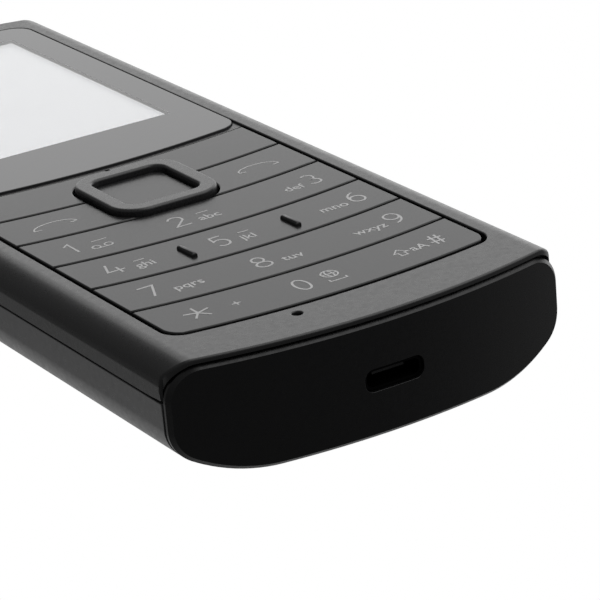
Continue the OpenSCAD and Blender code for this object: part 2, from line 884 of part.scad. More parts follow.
module dome_sheet() {
    dome_r = (pow(dome_d / 2, 2) + pow(dome_h, 2)) / (2 * dome_h);
    color([0.85, 0.8, 0.6]) {
        between(board_top, board_top + film_t) mat_plan(-mat_rim - rest_gap);
        for (p = switches) intersection() {
            translate([p[0], p[1], board_top + film_t + dome_h - dome_r]) sphere(r = dome_r);
            translate([p[0], p[1], board_top + film_t / 2]) cylinder(d = dome_d + 1, h = 1);
        }
    }
}

module keypad_leds() {
    led_size = [1.6, 0.8];
    led_t = 0.4;
    color([0.95, 0.95, 0.85]) for (k = [1 : 3]) for (x = outer_columns / 2)
        box_at([x, line_y(k) + bow(row_r, x)], led_size, board_top + film_t, board_top + film_t + led_t);
}

module main_board() {
    color([0.05, 0.3, 0.15]) difference() {
        intersection() {
            translate([-board_half_w, board_low_y, board_z])
                cube([2 * board_half_w, board_far_y - board_low_y, board_t]);
            between(0, body_t) end_trim(inner_trim);
        }
        screw_holes(board_screws, screw_d + 2 * screw_clear, board_z - cut, board_top + cut);
        for (p = sub_screws) translate([p[0], p[1], board_z - cut])
            cylinder(d = boss_d + 2 * window_clear_xy, h = board_t + 2 * cut);
    }
}

module sub_board() {
    color([0.05, 0.3, 0.15]) difference() {
        intersection() {
            translate([-sub_half_w, sub_low_y, sub_z]) cube([2 * sub_half_w, sub_far_y - sub_low_y, board_t]);
            between(0, body_t) end_trim(inner_trim);
        }
        screw_holes(sub_screws, screw_d + 2 * screw_clear, sub_z - cut, sub_top + cut);
    }
}

module board_connector() {
    color([0.85, 0.82, 0.75]) box_at([0, sub_far_y - 1.6], [12, 2.4], sub_top, board_z);
}

receiver_size = [10, 4.4];
receiver_t = 1.8;

module earpiece_receiver() {
    color([0.3, 0.3, 0.3]) between(ledge_z - receiver_t, ledge_z) difference() {
        translate([0, ear_y]) rounded_rect(receiver_size[0], receiver_size[1], 1.2);
        ear_slot();
    }
}

module loudspeaker() {
    color([0.3, 0.3, 0.3]) translate([speaker_pos[0], speaker_pos[1], plate_z - speaker_size[2]])
        cube(speaker_size);
}

module speaker_gasket() {
    gasket_z = wall + 0.05;
    gasket_top = plate_z - speaker_size[2];
    inner_size = [speaker_size[0] - 2 * gasket_wall, speaker_size[1] - 2 * gasket_wall];
    color([0.1, 0.1, 0.1]) difference() {
        translate([speaker_pos[0], speaker_pos[1], gasket_z])
            cube([speaker_size[0], speaker_size[1], gasket_top - gasket_z]);
        translate([speaker_pos[0] + gasket_wall, speaker_pos[1] + gasket_wall, 0])
            cube([inner_size[0], inner_size[1], gasket_top]);
    }
}

module microphone() {
    color([0.7, 0.7, 0.7]) translate([mic_pos[0], mic_pos[1], sub_top]) cylinder(d = mic_d, h = mic_t);
}

module microphone_boot() {
    boot_wall = 0.4;
    color([0.1, 0.1, 0.1]) translate([mic_pos[0], mic_pos[1], 0]) difference() {
        translate([0, 0, sub_top]) cylinder(d = mic_d + 2 * boot_wall, h = ceiling_z - sub_top);
        translate([0, 0, sub_top - cut]) cylinder(d = mic_d, h = mic_t + cut);
        translate([0, 0, sub_top]) cylinder(d = mic_hole_d + 0.4, h = lip_z);
    }
}

module usb_shell() {
    color([0.75, 0.75, 0.77]) translate([usb_x, usb_front_y + usb_l, usb_z]) rotate([90, 0, 0]) difference() {
        linear_extrude(usb_l) usb_profile(0);
        translate([0, 0, usb_sheet]) linear_extrude(usb_l) usb_profile(-usb_sheet);
    }
}

module usb_tongue() {
    tongue_w = 4.2;
    tongue_t = 0.6;
    tongue_l = usb_l - usb_sheet - 1.1;
    tongue_top = usb_z + usb_h / 2 - usb_sheet - 0.25;
    color([0.08, 0.08, 0.08])
        box_at([usb_x, usb_front_y + usb_l - usb_sheet - tongue_l / 2], [tongue_w, tongue_l],
            tongue_top - tongue_t, tongue_top);
}

module headset_jack() {
    box_l = jack_depth - cap_depth + 1;
    color([0.12, 0.12, 0.12]) difference() {
        union() {
            translate([jack_x - jack_box[0] / 2, jack_back_y, jack_z - jack_box[1] / 2])
                cube([jack_box[0], box_l, jack_box[1]]);
            translate([jack_x, jack_front_y, jack_z]) rotate([90, 0, 0])
                cylinder(d = jack_nose_d, h = jack_depth);
        }
        translate([jack_x, jack_front_y + cut, jack_z]) rotate([90, 0, 0])
            cylinder(d = jack_d, h = jack_depth + cut);
    }
}

module torch_led() {
    color([0.95, 0.95, 0.8]) box_at([torch_pos[0], board_far_y - 1], [3, 1.8], board_z - 2.4, board_z);
}

module torch_lens() {
    lens_y = half_l - bow(end_r, torch_pos[0] - torch_d / 2);
    color([0.9, 0.9, 0.95]) translate([torch_pos[0], lens_y, torch_pos[1]]) rotate([90, 0, 0])
        cylinder(d = torch_d, h = lens_y - board_far_y - rest_gap);
}

module vibration_motor() {
    color([0.75, 0.75, 0.77]) translate(motor_pos) rotate([0, 90, 0]) difference() {
        cylinder(d = motor_d, h = motor_l);
        translate([0, 0, motor_l - 1.5]) cylinder(d = shaft_d + 2 * shaft_clear, h = 1.5 + cut);
    }
}

// Half-round weight with its shaft, which turns in the motor
module vibration_weight() {
    shaft_in = 1.2;
    color([0.6, 0.58, 0.5]) translate(motor_pos) rotate([0, 90, 0]) {
        translate([0, 0, motor_l - shaft_in]) cylinder(d = shaft_d, h = shaft_in + weight_gap + weight_l);
        translate([0, 0, motor_l + weight_gap]) intersection() {
            cylinder(d = weight_d, h = weight_l);
            translate([-0.2, -weight_d, -cut]) cube([weight_d, 2 * weight_d, weight_l + 2 * cut]);
        }
    }
}

module battery() {
    color([0.3, 0.32, 0.36]) translate([0, battery_mid_y, battery_z])
        linear_extrude(battery_t) rounded_rect(battery_w, battery_l, 1.2);
}

module battery_contacts() {
    blade_w = 1.2;
    blade_pitch = 3.6;
    blade_z = battery_z + battery_t / 2;
    block_y = battery_far_y + contact_gap;
    color([0.85, 0.7, 0.3]) {
        translate([-contact_size[0] / 2, block_y, blade_z - 1])
            cube([contact_size[0], contact_size[1], board_z - blade_z + 1]);
        for (i = [-1 : 1]) translate([i * blade_pitch - blade_w / 2, battery_far_y, blade_z - 0.4])
            cube([blade_w, contact_gap + 0.2, 0.8]);
    }
}

// Card holder: a tray open below and at one end
module card_holder(place, size) {
    roof = 0.4;
    translate([place[0], place[1], board_z - size[2]]) difference() {
        cube(size);
        translate([holder_wall, -cut, -cut])
            cube([size[0] - 2 * holder_wall, size[1] - holder_wall + cut, size[2] - roof + cut]);
    }
}

module sim_holder_left() {
    color([0.7, 0.7, 0.72]) card_holder([-sim_x - sim_size[0], sim_y], sim_size);
}

module sim_holder_right() {
    color([0.7, 0.7, 0.72]) card_holder([sim_x, sim_y], sim_size);
}

module memory_card_holder() {
    color([0.7, 0.7, 0.72]) card_holder(card_pos, card_size);
}

// Shield can on the lower side of the main board, open towards the board
module shield_can(mid_y, length) {
    difference() {
        box_at([0, mid_y], [can_w, length], board_z - can_t, board_z);
        box_at([0, mid_y], [can_w - 2 * can_wall, length - 2 * can_wall],
            board_z - can_t + can_wall, board_z + cut);
    }
}

module baseband_shield() {
    color([0.72, 0.72, 0.74]) shield_can(battery_mid_y + 13.5, 24);
}

module rf_shield() {
    color([0.72, 0.72, 0.74]) shield_can(battery_mid_y - 11.5, 20);
}

module antenna_carrier() {
    color([0.15, 0.15, 0.15]) translate([antenna_pos[0], antenna_pos[1], plate_z - antenna_size[2]])
        cube(antenna_size);
}

module antenna_strip() {
    arm = 2;
    rim = 0.8;
    strip_l = antenna_size[1] - 2 * rim;
    low = plate_z - antenna_size[2] - strip_t;
    color([0.8, 0.65, 0.3]) translate([antenna_pos[0] + rim, antenna_pos[1] + rim, low]) difference() {
        cube([antenna_size[0] - 2 * rim, strip_l, strip_t]);
        translate([arm, arm, -cut]) cube([antenna_size[0], strip_l - 2 * arm, strip_t + 2 * cut]);
    }
}

front_cover();
rear_cover();
bottom_cap();
top_cap();
mid_frame();
case_screws();
display_window();
window_adhesive();
earpiece_mesh();
display_panel();
display_backlight();
display_cradle();
display_flex();
left_soft_key();
right_soft_key();
call_key();
end_key();
key_row_123();
key_row_456();
key_row_789();
key_row_star_0_hash();
nav_ring();
select_key();
keypad_mat();
dome_sheet();
keypad_leds();
main_board();
sub_board();
board_connector();
earpiece_receiver();
loudspeaker();
speaker_gasket();
microphone();
microphone_boot();
usb_shell();
usb_tongue();
headset_jack();
torch_led();
torch_lens();
vibration_motor();
vibration_weight();
battery();
battery_contacts();
sim_holder_left();
sim_holder_right();
memory_card_holder();
baseband_shield();
rf_shield();
antenna_carrier();
antenna_strip();
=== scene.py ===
"""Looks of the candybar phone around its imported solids: camera, light, finishes, soft edges and legends."""

import math

import bmesh
import bpy
from mathutils import Matrix, Vector


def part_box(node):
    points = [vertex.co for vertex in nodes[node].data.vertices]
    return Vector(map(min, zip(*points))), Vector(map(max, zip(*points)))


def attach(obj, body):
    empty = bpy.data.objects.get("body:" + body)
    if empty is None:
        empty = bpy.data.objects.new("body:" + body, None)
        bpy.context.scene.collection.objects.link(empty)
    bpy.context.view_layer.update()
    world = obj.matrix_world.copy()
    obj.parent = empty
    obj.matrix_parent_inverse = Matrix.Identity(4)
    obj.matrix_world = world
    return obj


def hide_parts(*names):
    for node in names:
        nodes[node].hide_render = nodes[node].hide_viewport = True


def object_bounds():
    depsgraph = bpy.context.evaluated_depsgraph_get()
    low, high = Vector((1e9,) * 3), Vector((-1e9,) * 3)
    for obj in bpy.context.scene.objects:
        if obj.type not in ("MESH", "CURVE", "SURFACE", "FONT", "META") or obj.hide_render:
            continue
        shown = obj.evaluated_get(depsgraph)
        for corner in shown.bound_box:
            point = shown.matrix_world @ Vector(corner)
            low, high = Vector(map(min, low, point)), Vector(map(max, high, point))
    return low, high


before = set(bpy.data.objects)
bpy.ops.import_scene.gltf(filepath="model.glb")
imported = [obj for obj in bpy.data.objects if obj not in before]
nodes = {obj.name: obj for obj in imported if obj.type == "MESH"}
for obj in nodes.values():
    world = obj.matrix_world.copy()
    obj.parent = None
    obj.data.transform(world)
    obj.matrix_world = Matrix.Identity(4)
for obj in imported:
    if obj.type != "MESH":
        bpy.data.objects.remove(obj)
cad_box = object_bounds()
scene = bpy.context.scene

# Metres in a millimetre
MM = 0.001

# Camera: angles in degrees, lens and sensor in millimetres
CAMERA_AZIMUTH = -30.29
CAMERA_ELEVATION = 21.87
CAMERA_ROLL = -4.99
CAMERA_DISTANCE = 344.49 * MM
CAMERA_TARGET = Vector((-5.19, -56.95, 14.5)) * MM
CAMERA_LENS = 188.34
SENSOR_WIDTH = 36.0
CLIP_START = 10 * MM


def make_camera():
    """Camera at a distance from its target, turned by azimuth, elevation and roll."""
    azimuth = math.radians(CAMERA_AZIMUTH)
    elevation = math.radians(CAMERA_ELEVATION)
    roll = math.radians(CAMERA_ROLL)
    back = Vector((
        math.sin(azimuth) * math.cos(elevation),
        -math.cos(azimuth) * math.cos(elevation),
        math.sin(elevation),
    ))
    right = Vector((math.cos(azimuth), math.sin(azimuth), 0))
    up = back.cross(right)
    x_axis = right * math.cos(roll) + up * math.sin(roll)
    y_axis = up * math.cos(roll) - right * math.sin(roll)
    data = bpy.data.cameras.new("camera")
    data.lens = CAMERA_LENS
    data.sensor_width = SENSOR_WIDTH
    data.clip_start = CLIP_START
    camera = bpy.data.objects.new("camera", data)
    turn = Matrix((x_axis, y_axis, back)).transposed().to_4x4()
    camera.matrix_world = Matrix.Translation(CAMERA_TARGET + back * CAMERA_DISTANCE) @ turn
    scene.collection.objects.link(camera)
    scene.camera = camera


def add(tree, kind, **settings):
    """New shader node with some of its settings."""
    node = tree.nodes.new(kind)
    for name, value in settings.items():
        setattr(node, name, value)
    return node


def fill(node, **sockets):
    """Sets inputs of a shader node by name, with an underscore for each space."""
    for name, value in sockets.items():
        node.inputs[name.replace("_", " ")].default_value = value


def link(tree, source, target):
    tree.links.new(source, target)


def join(tree, operation, first, second):
    """Sum, product or the like of two outputs."""
    node = add(tree, "ShaderNodeMath", operation=operation)
    link(tree, first, node.inputs[0])
    link(tree, second, node.inputs[1])
    return node.outputs["Value"]


def ease(tree, value, limits, top=1.0, bottom=0.0):
    """Value eased from bottom to top between two limits."""
    node = add(tree, "ShaderNodeMapRange", interpolation_type="SMOOTHSTEP")
    fill(node, From_Min=limits[0], From_Max=limits[1], To_Min=bottom, To_Max=top)
    link(tree, value, node.inputs["Value"])
    return node.outputs["Result"]


def show_mix(tree, factor, first, second, output_kind):
    """Ends a tree with a mix of two shaders: the first at factor 0, the second at 1."""
    mix = add(tree, "ShaderNodeMixShader")
    output = add(tree, output_kind)
    link(tree, factor, mix.inputs["Fac"])
    link(tree, first, mix.inputs[1])
    link(tree, second, mix.inputs[2])
    link(tree, mix.outputs["Shader"], output.inputs["Surface"])


# Studio light by direction: a dim room that is lighter above, a white backdrop behind and to the right,
# a soft box overhead, a pale wall to the right and a pale floor behind.
# X, Y, Z and SPREAD give the limits between which a light fades in
ROOM_LOW = 0.1
ROOM_RISE = 0.14
ROOM_Z = (-0.5, 1.0)
BACKDROP = 1.15
BACKDROP_X = (-0.15, 0.35)
BACKDROP_Y = (-0.2, 0.4)
BACKDROP_Z = (-0.4, -0.05)
SOFT_BOX = 1.4
SOFT_BOX_WAY = (0.468, -0.347, 0.776)
SOFT_BOX_SPREAD = (0.75, 0.95)
WALL = 0.15
WALL_X = (0.5, 0.95)
FLOOR_GLOW = 0.4
FLOOR_Y = (-0.3, 0.3)
FLOOR_Z = (-0.25, -0.5)
WHITE = (1, 1, 1, 1)


def make_world():
    """Studio light on the object, with plain white where the camera sees past it."""
    world = bpy.data.worlds.new("studio")
    scene.world = world
    world.use_nodes = True
    tree = world.node_tree
    tree.nodes.clear()
    way = add(tree, "ShaderNodeTexCoord").outputs["Generated"]
    split = add(tree, "ShaderNodeSeparateXYZ")
    link(tree, way, split.inputs["Vector"])
    x, y, z = split.outputs
    room = ease(tree, z, ROOM_Z, ROOM_LOW + ROOM_RISE, ROOM_LOW)
    backdrop = join(tree, "MULTIPLY", ease(tree, x, BACKDROP_X, BACKDROP), ease(tree, y, BACKDROP_Y))
    backdrop = join(tree, "MULTIPLY", backdrop, ease(tree, z, BACKDROP_Z))
    facing = add(tree, "ShaderNodeVectorMath", operation="DOT_PRODUCT")
    facing.inputs[1].default_value = SOFT_BOX_WAY
    link(tree, way, facing.inputs[0])
    soft_box = ease(tree, facing.outputs["Value"], SOFT_BOX_SPREAD, SOFT_BOX)
    wall = ease(tree, x, WALL_X, WALL)
    floor_glow = join(tree, "MULTIPLY", ease(tree, z, FLOOR_Z, FLOOR_GLOW), ease(tree, y, FLOOR_Y))
    total = room
    for light in (backdrop, soft_box, wall, floor_glow):
        total = join(tree, "ADD", total, light)
    studio = add(tree, "ShaderNodeBackground")
    link(tree, total, studio.inputs["Color"])
    white = add(tree, "ShaderNodeBackground")
    fill(white, Color=WHITE)
    seen = add(tree, "ShaderNodeLightPath").outputs["Is Camera Ray"]
    show_mix(tree, seen, studio.outputs["Background"], white.outputs["Background"], "ShaderNodeOutputWorld")


# Floor: half its side in metres, and how far it lies below the object
FLOOR_HALF = 2.0
FLOOR_DROP = 0.05 * MM


def make_floor():
    """White floor that glows evenly, and is seen through from below."""
    mesh = bpy.data.meshes.new("floor")
    ways = ((-1, -1), (1, -1), (1, 1), (-1, 1))
    corners = [(x * FLOOR_HALF, y * FLOOR_HALF, -FLOOR_DROP) for x, y in ways]
    mesh.from_pydata(corners, [], [(0, 1, 2, 3)])
    floor = bpy.data.objects.new("floor", mesh)
    scene.collection.objects.link(floor)
    floor.visible_diffuse = False
    floor.visible_glossy = False
    floor.visible_transmission = False
    floor.visible_shadow = False
    material = bpy.data.materials.new("floor_white")
    material.use_nodes = True
    tree = material.node_tree
    tree.nodes.clear()
    glow = add(tree, "ShaderNodeEmission").outputs["Emission"]
    clear = add(tree, "ShaderNodeBsdfTransparent").outputs["BSDF"]
    below = add(tree, "ShaderNodeNewGeometry").outputs["Backfacing"]
    show_mix(tree, below, glow, clear, "ShaderNodeOutputMaterial")
    mesh.materials.append(material)


# Values between which most of a noise lies
NOISE_LOW = 0.3
NOISE_HIGH = 0.7


class Finish:
    """Material with a principled shader, object coordinates and helpers for procedural detail."""

    def __init__(self, name, **sockets):
        self.material = bpy.data.materials.new(name)
        self.material.use_nodes = True
        self.tree = self.material.node_tree
        self.shader = self.tree.nodes["Principled BSDF"]
        self.place = add(self.tree, "ShaderNodeTexCoord").outputs["Object"]
        fill(self.shader, **sockets)

    def link(self, source, socket):
        link(self.tree, source, self.shader.inputs[socket])

    def noise(self, size, detail=2.0, stretch=None):
        """Noise whose spots are about size across, in metres; stretch scales the axes."""
        place = self.place
        if stretch:
            mapping = add(self.tree, "ShaderNodeMapping")
            fill(mapping, Scale=stretch)
            link(self.tree, place, mapping.inputs["Vector"])
            place = mapping.outputs["Vector"]
        texture = add(self.tree, "ShaderNodeTexNoise")
        fill(texture, Scale=1 / size, Detail=detail)
        link(self.tree, place, texture.inputs["Vector"])
        return texture.outputs["Fac"]

    def bricks(self, unit, line, colours, line_colour, **settings):
        """Boxes of two colours with lines between them; unit is the pattern's unit of length in metres."""
        texture = add(self.tree, "ShaderNodeTexBrick", **settings)
        fill(texture, Scale=1 / unit, Mortar_Size=line, Mortar=(*line_colour, 1))
        fill(texture, Color1=(*colours[0], 1), Color2=(*colours[1], 1))
        link(self.tree, self.place, texture.inputs["Vector"])
        return texture.outputs

    def spread(self, value, low, high):
        """Brings a noise, or a value of 0 or 1, to a range."""
        node = add(self.tree, "ShaderNodeMapRange")
        fill(node, From_Min=NOISE_LOW, From_Max=NOISE_HIGH, To_Min=low, To_Max=high)
        link(self.tree, value, node.inputs["Value"])
        return node.outputs["Result"]

    def roughen(self, value, low, high):
        """Roughness that follows a noise within a range."""
        self.link(self.spread(value, low, high), "Roughness")

    def bump(self, height, depth):
        node = add(self.tree, "ShaderNodeBump")
        fill(node, Distance=depth)
        link(self.tree, height, node.inputs["Height"])
        self.link(node.outputs["Normal"], "Normal")

    def tint(self, factor, colour_a, colour_b):
        """Base colour between two, by a factor."""
        node = add(self.tree, "ShaderNodeMix", data_type="RGBA")
        fill(node, A=(*colour_a, 1), B=(*colour_b, 1))
        link(self.tree, factor, node.inputs["Factor"])
        self.link(node.outputs["Result"], "Base Color")


def shade(colour, factor):
    return tuple(channel * factor for channel in colour)


# Clouds in the colour of moulded surfaces, and how many grains wide a spot of gloss is
CLOUD_SIZE = 9 * MM
CLOUD_DARK = 0.85
CLOUD_PALE = 1.15
GLOSS_GRAINS = 4


def grained(name, colour, roughness, grain, depth, vary=0.05, **sockets):
    """Moulded surface: fine grain in the bump, and colour and gloss that vary a little."""
    finish = Finish(name, **sockets)
    cloud = finish.noise(CLOUD_SIZE, detail=3)
    finish.tint(cloud, shade(colour, CLOUD_DARK), shade(colour, CLOUD_PALE))
    finish.roughen(finish.noise(grain * GLOSS_GRAINS), roughness - vary, roughness + vary)
    finish.bump(finish.noise(grain, detail=1), depth)
    return finish.material


# Fine marks in brushed metal: their size, how much narrower than long they are, their depth,
# and the shares of the metal's colour and roughness between which they vary
BRUSH_SIZE = 0.6 * MM
BRUSH_STRETCH = (1, 14, 14)
BRUSH_DEPTH = 0.004 * MM
BRUSH_DARK = 0.8
BRUSH_PALE = 1.1
BRUSH_SMOOTH = 0.75
BRUSH_ROUGH = 1.25


def brushed(name, colour, roughness):
    """Metal with fine marks along one way."""
    finish = Finish(name, Metallic=1.0)
    marks = finish.noise(BRUSH_SIZE, detail=4, stretch=BRUSH_STRETCH)
    finish.tint(marks, shade(colour, BRUSH_DARK), shade(colour, BRUSH_PALE))
    finish.roughen(marks, roughness * BRUSH_SMOOTH, roughness * BRUSH_ROUGH)
    finish.bump(marks, BRUSH_DEPTH)
    return finish.material


# Tracks of the circuit boards and the spots of gloss in their solder mask
TRACK_UNIT = 7 * MM
TRACK_LINE = 0.03
TRACK_DEPTH = 0.03 * MM
TRACK_GREEN = (0.04, 0.16, 0.05)
MASK_GREENS = ((0.008, 0.07, 0.03), (0.01, 0.085, 0.035))
MASK_SPOT = 1.5 * MM


def circuit_board(name):
    """Green solder mask over copper tracks."""
    finish = Finish(name, Specular_IOR_Level=0.5)
    tracks = finish.bricks(TRACK_UNIT, TRACK_LINE, MASK_GREENS, TRACK_GREEN, offset=0.37, squash=0.6)
    finish.link(tracks["Color"], "Base Color")
    finish.roughen(finish.noise(MASK_SPOT), low=0.25, high=0.4)
    finish.bump(tracks["Fac"], TRACK_DEPTH)
    return finish.material


# Picture area of the display, placed from the far edge of the panel's glass
PICTURE_SIZE = (33.8 * MM, 45.1 * MM)
PICTURE_FAR_RIM = 1.6 * MM


def picture_area():
    """Low and high corner of the picture in x and y."""
    high_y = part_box("display_panel")[1].y - PICTURE_FAR_RIM
    half_w = PICTURE_SIZE[0] / 2
    return (-half_w, high_y - PICTURE_SIZE[1]), (half_w, high_y)


def inside_picture(finish):
    """1 inside the picture area, else 0."""
    low, high = picture_area()
    split = add(finish.tree, "ShaderNodeSeparateXYZ")
    link(finish.tree, finish.place, split.inputs["Vector"])
    tests = []
    for axis in (0, 1):
        for limit, operation in ((low[axis], "GREATER_THAN"), (high[axis], "LESS_THAN")):
            test = add(finish.tree, "ShaderNodeMath", operation=operation)
            test.inputs[1].default_value = limit
            link(finish.tree, split.outputs[axis], test.inputs[0])
            tests.append(test.outputs["Value"])
    product = tests[0]
    for test in tests[1:]:
        product = join(finish.tree, "MULTIPLY", product, test)
    return product


WINDOW_PRINT = (0.03, 0.03, 0.032)
WINDOW_CLEAR = (1, 1, 1)
WINDOW_SPOT = 6 * MM


def window_finish(name):
    """Clear window, printed black on its back outside the picture."""
    finish = Finish(name, IOR=1.6, Specular_IOR_Level=0.5)
    mask = inside_picture(finish)
    finish.link(mask, "Transmission Weight")
    finish.tint(mask, WINDOW_PRINT, WINDOW_CLEAR)
    finish.roughen(finish.noise(WINDOW_SPOT, detail=3), low=0.03, high=0.07)
    return finish.material


# Lit display: its grid of pixels, its glow, and the glass inside and outside the picture
PIXEL_UNIT = 0.42 * MM
PIXEL_LINE = 0.012
PIXEL_WHITES = ((0.95, 0.97, 1.0), (0.93, 0.96, 1.0))
PIXEL_LINE_GREY = (0.8, 0.82, 0.86)
PICTURE_GLOW = 0.36
PICTURE_GREY = (0.1, 0.1, 0.11)
PANEL_RIM = (0.02, 0.02, 0.022)


def lit_panel(name):
    """Display panel: white picture with a fine grid of pixels, dark rim."""
    finish = Finish(name, Roughness=0.3)
    mask = inside_picture(finish)
    grid = finish.bricks(PIXEL_UNIT, PIXEL_LINE, PIXEL_WHITES, PIXEL_LINE_GREY, offset=0.0)
    finish.link(grid["Color"], "Emission Color")
    finish.link(finish.spread(mask, 0.0, PICTURE_GLOW), "Emission Strength")
    finish.tint(mask, PANEL_RIM, PICTURE_GREY)
    return finish.material


LENS_WHITES = ((0.9, 0.9, 0.86), (1, 1, 0.96))
LENS_CLOUD = 2 * MM
FROST_SIZE = 0.3 * MM
FROST_DEPTH = 0.01 * MM


def clear_lens(name):
    """Frosted clear plastic."""
    finish = Finish(name, Transmission_Weight=0.85, IOR=1.49)
    frost = finish.noise(FROST_SIZE)
    finish.tint(finish.noise(LENS_CLOUD), *LENS_WHITES)
    finish.roughen(frost, low=0.12, high=0.25)
    finish.bump(frost, FROST_DEPTH)
    return finish.material


# Moulded surfaces and the ink of the legends: colour, roughness, size and depth of the grain in millimetres,
# and other settings
MOULDED = {
    "cover_black": ((0.013, 0.013, 0.0135), 0.3, 0.16, 0.003, {}),
    # door_black is painted light: its base colour is lighter than the front cover's black and its specular
    # doubled, to brighten the rear cover's lower sides as light bounced up from the white floor would
    "door_black": ((0.055, 0.055, 0.057), 0.32, 0.2, 0.005, {"Specular_IOR_Level": 1.0}),
    "cap_black": ((0.004, 0.004, 0.0045), 0.3, 0.12, 0.003, {"Specular_IOR_Level": 0.4}),
    "frame_grey": ((0.05, 0.05, 0.053), 0.55, 0.3, 0.012, {}),
    "key_black": ((0.012, 0.012, 0.0125), 0.21, 0.1, 0.0008, {"vary": 0.03, "Specular_IOR_Level": 0.31}),
    "ring_grey": ((0.02, 0.02, 0.021), 0.28, 0.1, 0.0007, {}),
    "backlight_white": ((0.7, 0.7, 0.68), 0.5, 0.4, 0.008, {}),
    "foam_black": ((0.015, 0.015, 0.015), 0.9, 0.25, 0.05, {}),
    "silicone": ((0.14, 0.14, 0.135), 0.6, 0.3, 0.01, {"Subsurface_Weight": 0.2}),
    "film": ((0.6, 0.52, 0.3), 0.25, 0.5, 0.006, {}),
    "flex_amber": ((0.35, 0.14, 0.02), 0.3, 0.4, 0.006, {}),
    "connector_cream": ((0.6, 0.55, 0.42), 0.5, 0.2, 0.006, {}),
    "inner_black": ((0.015, 0.015, 0.016), 0.5, 0.2, 0.008, {}),
    "battery_grey": ((0.09, 0.1, 0.12), 0.4, 0.5, 0.008, {}),
    "legend_ink": ((0.48, 0.48, 0.48), 0.5, 0.1, 0.003, {}),
}
# Metals: colour and roughness
METALS = {
    "steel": ((0.55, 0.55, 0.56), 0.28),
    "plated_black": ((0.008, 0.008, 0.0085), 0.5),
    "contact_gold": ((0.8, 0.55, 0.2), 0.25),
}
# Finishes that have a function of their own
OTHERS = {
    "window_dark": window_finish,
    "panel_glass": lit_panel,
    "board_green": circuit_board,
    "led_clear": clear_lens,
}


def make_finishes():
    """Materials by name: one for each material slot, and the ink."""
    made = {}
    for name, (colour, roughness, grain_mm, depth_mm, settings) in MOULDED.items():
        made[name] = grained(name, colour, roughness, grain_mm * MM, depth_mm * MM, **settings)
    for name, (colour, roughness) in METALS.items():
        made[name] = brushed(name, colour, roughness)
    for name, make in OTHERS.items():
        made[name] = make(name)
    return made


# Softened edges: a copy of the node's mesh with its sharp outer edges rounded or bevelled
WELD = 0.002 * MM
FLAT_ANGLE = math.radians(0.4)
SHARP_ANGLE = math.radians(35)
ROUND_STEPS = 3
ROUND_PROFILE = 0.5
BEVEL_STEPS = 1


def sharp_edges(work, wanted):
    """Convex sharp edges whose middle passes the wanted test."""
    found = []
    for edge in work.edges:
        if not edge.is_manifold or not edge.is_convex:
            continue
        if edge.calc_face_angle() < SHARP_ANGLE:
            continue
        middle = (edge.verts[0].co + edge.verts[1].co) / 2
        if wanted(middle):
            found.append(edge)
    return found


def soften(name, node, body, slot, rounds):
    """Piece that stands for a node, softened; rounds lists (size, steps, test of an edge's middle)."""
    work = bmesh.new()
    work.from_mesh(nodes[node].data)
    bmesh.ops.remove_doubles(work, verts=work.verts, dist=WELD)
    bmesh.ops.dissolve_limit(work, angle_limit=FLAT_ANGLE, verts=work.verts, edges=work.edges)
    for size, steps, wanted in rounds:
        work.normal_update()
        bmesh.ops.bevel(
            work, geom=sharp_edges(work, wanted), offset=size, segments=steps, profile=ROUND_PROFILE,
            affect="EDGES", clamp_overlap=False,
        )
    work.normal_update()
    for edge in work.edges:
        edge.smooth = not edge.is_manifold or edge.calc_face_angle() < SHARP_ANGLE
    for face in work.faces:
        face.smooth = True
    mesh = bpy.data.meshes.new(name)
    work.to_mesh(mesh)
    work.free()
    piece = bpy.data.objects.new(name, mesh)
    scene.collection.objects.link(piece)
    normals = piece.modifiers.new("even_normals", "WEIGHTED_NORMAL")
    normals.keep_sharp = True
    mesh.materials.append(finishes[slot])
    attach(piece, body)
    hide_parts(node)


# Places on the solids by which edges are found
HALF_L = cad_box[1].y
HALF_W = cad_box[1].x
FRONT_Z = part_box("front_cover")[1].z
UPPER_SEAM_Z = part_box("front_cover")[0].z
LOWER_SEAM_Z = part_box("rear_cover")[1].z
KEY_FACE_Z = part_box("key_row_789")[1].z
LOCATOR_TOP_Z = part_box("key_row_456")[1].z
CAP_OPENINGS = ("usb_shell", "headset_jack", "torch_lens")
# Radius of the bowed ends, how far behind them the covers end, and radius of the long front edges
END_R = 92 * MM
COVER_TRIM = 1.3 * MM
EDGE_R = 3.2 * MM
# The most that a point strays from its face, and a chord from its curve
TOUCH = 0.03 * MM
CHORD_SAG = 0.06 * MM
# Depth by which the covers' rounded corners stay inside
CORNER_REACH = 0.5 * MM
# How far from an opening, a side and the rear cover's sides and back their edges are looked for,
# and how far from the ends the back's slots are
OPENING_REACH = 0.6 * MM
SIDE_REACH = 0.5 * MM
COVER_SIDE_REACH = 1.0 * MM
COVER_BACK_REACH = 0.9 * MM
SLOT_END_GAP = 2 * MM


def bow(radius, x):
    """How far an arc has risen at x from its lowest point."""
    return radius - math.sqrt(radius * radius - x * x)


def end_depth(place):
    """Depth of a point behind the nearer bowed end."""
    return HALF_L - bow(END_R, place.x) - abs(place.y)


def skin_depth(place):
    """Depth of a point under the front cover's outer surface."""
    past_x = abs(place.x) - (HALF_W - EDGE_R)
    past_z = place.z - (FRONT_Z - EDGE_R)
    if past_z < 0:
        return EDGE_R - past_x
    if past_x < 0:
        return EDGE_R - past_z
    return EDGE_R - math.hypot(past_x, past_z)


def near_top(node):
    """Test for edges at the highest face of a node."""
    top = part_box(node)[1].z
    return lambda place: place.z > top - TOUCH


def at_side(place):
    """Whether a point lies near the phone's left or right side."""
    return abs(place.x) > HALF_W - SIDE_REACH


def at_upper_seam(place):
    return at_side(place) and place.z < UPPER_SEAM_Z + TOUCH


def at_lower_seam(place):
    return at_side(place) and place.z > LOWER_SEAM_Z - TOUCH


